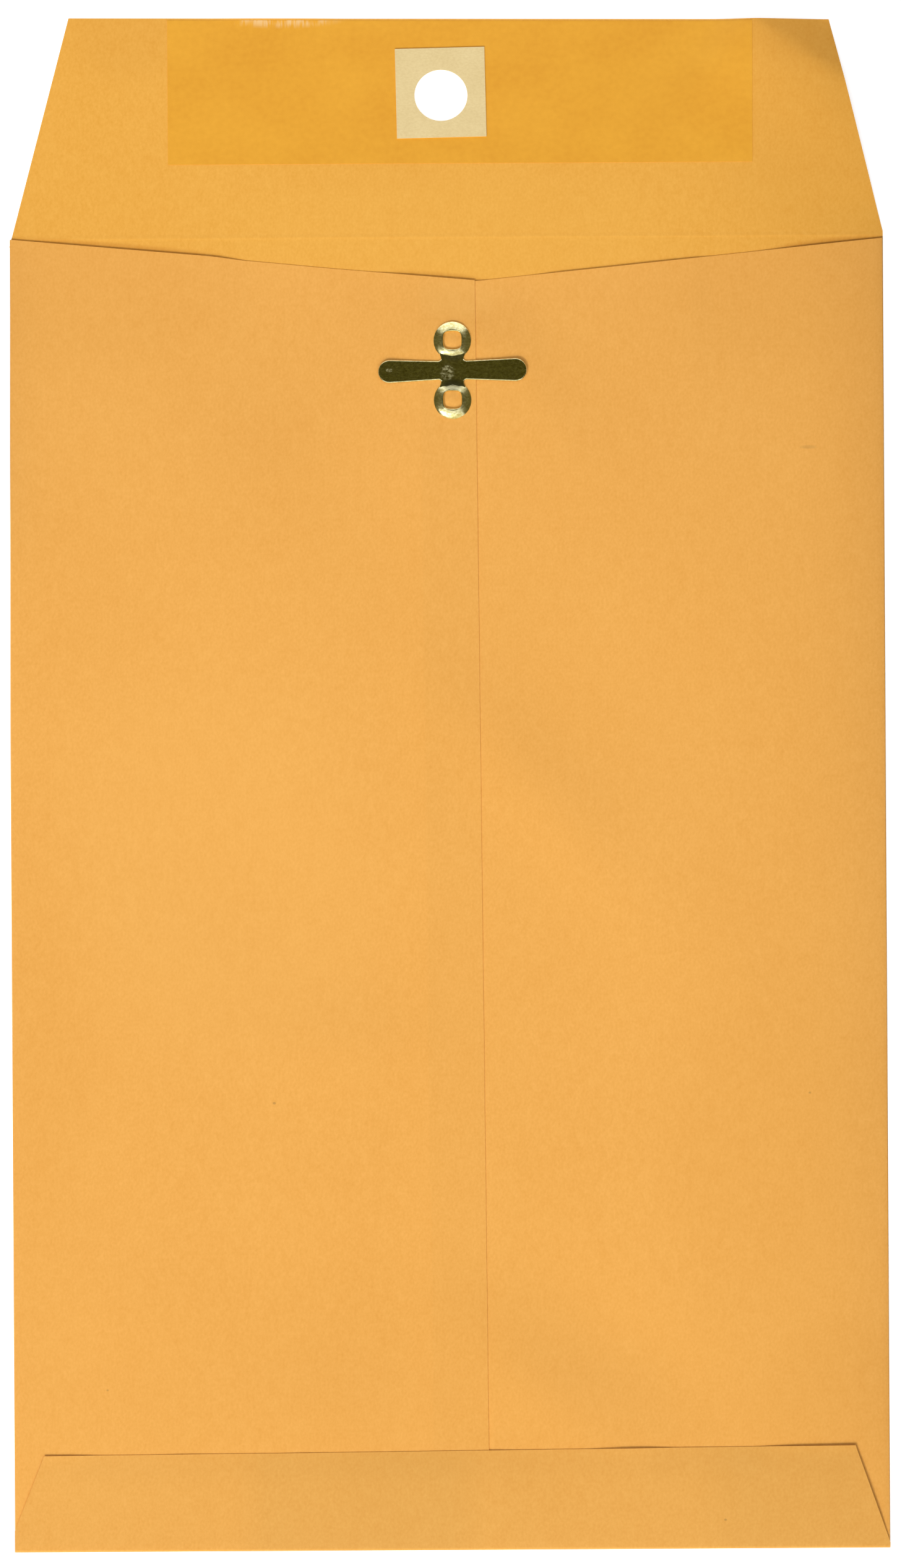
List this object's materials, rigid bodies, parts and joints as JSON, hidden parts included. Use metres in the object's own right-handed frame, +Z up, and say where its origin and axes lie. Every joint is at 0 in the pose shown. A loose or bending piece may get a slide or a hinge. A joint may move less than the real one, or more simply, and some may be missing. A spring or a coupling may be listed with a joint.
{
  "type": "clasp envelope",
  "caption": "Open-end kraft envelope with a gummed closing flap, a reinforced clasp hole and a two-prong metal clasp on its glued centre seam.",
  "frame": {"origin": "centre of the outline on the surface that the envelope lies on, with the flap open", "axes": "+X across the envelope to the right as seen from the seam side, +Y towards the tip of the closing flap, +Z up from the table through the seam side"},
  "size_m": [0.1524, 0.267, 0.0025],
  "materials": {
    "kraft_paper": "matte uncoated golden kraft, outer face",
    "kraft_paper_inside": "matte uncoated golden kraft, inner face",
    "flap_gum": "thin dried remoistenable gum, slightly glossy",
    "dried_glue": "thin dried glue film",
    "patch_paper": "matte pale manila reinforcement",
    "clasp_metal": "bright stamped sheet with a brassy plating"
  },
  "bodies": {
    "envelope": {"address_panel": "kraft_paper", "left_side_fold": "kraft_paper", "right_side_fold": "kraft_paper", "left_seam_panel": "kraft_paper", "right_seam_panel": "kraft_paper", "seam_glue": "dried_glue", "bottom_fold": "kraft_paper", "bottom_flap": "kraft_paper", "bottom_flap_glue": "dried_glue", "clasp_base": "clasp_metal"},
    "flap": {"closure_flap": "kraft_paper_inside", "flap_gum": "flap_gum", "hole_patch": "patch_paper"},
    "left_prong": {"clasp_prong_left": "clasp_metal"},
    "right_prong": {"clasp_prong_right": "clasp_metal"}
  },
  "joints": [
    {"name": "flap_fold", "type": "hinge", "parent": "envelope", "child": "flap", "pos_m": [0, 0.0951, 0.0009], "axis": [1, 0, 0], "range_deg": [0, 176]},
    {"name": "left_prong_bend", "type": "hinge", "parent": "envelope", "child": "left_prong", "pos_m": [-0.00085, 0.07185, 0.00165], "axis": [0, 1, 0], "range_deg": [0, 90]},
    {"name": "right_prong_bend", "type": "hinge", "parent": "envelope", "child": "right_prong", "pos_m": [0.00275, 0.07185, 0.00165], "axis": [0, -1, 0], "range_deg": [0, 90]}
  ]
}
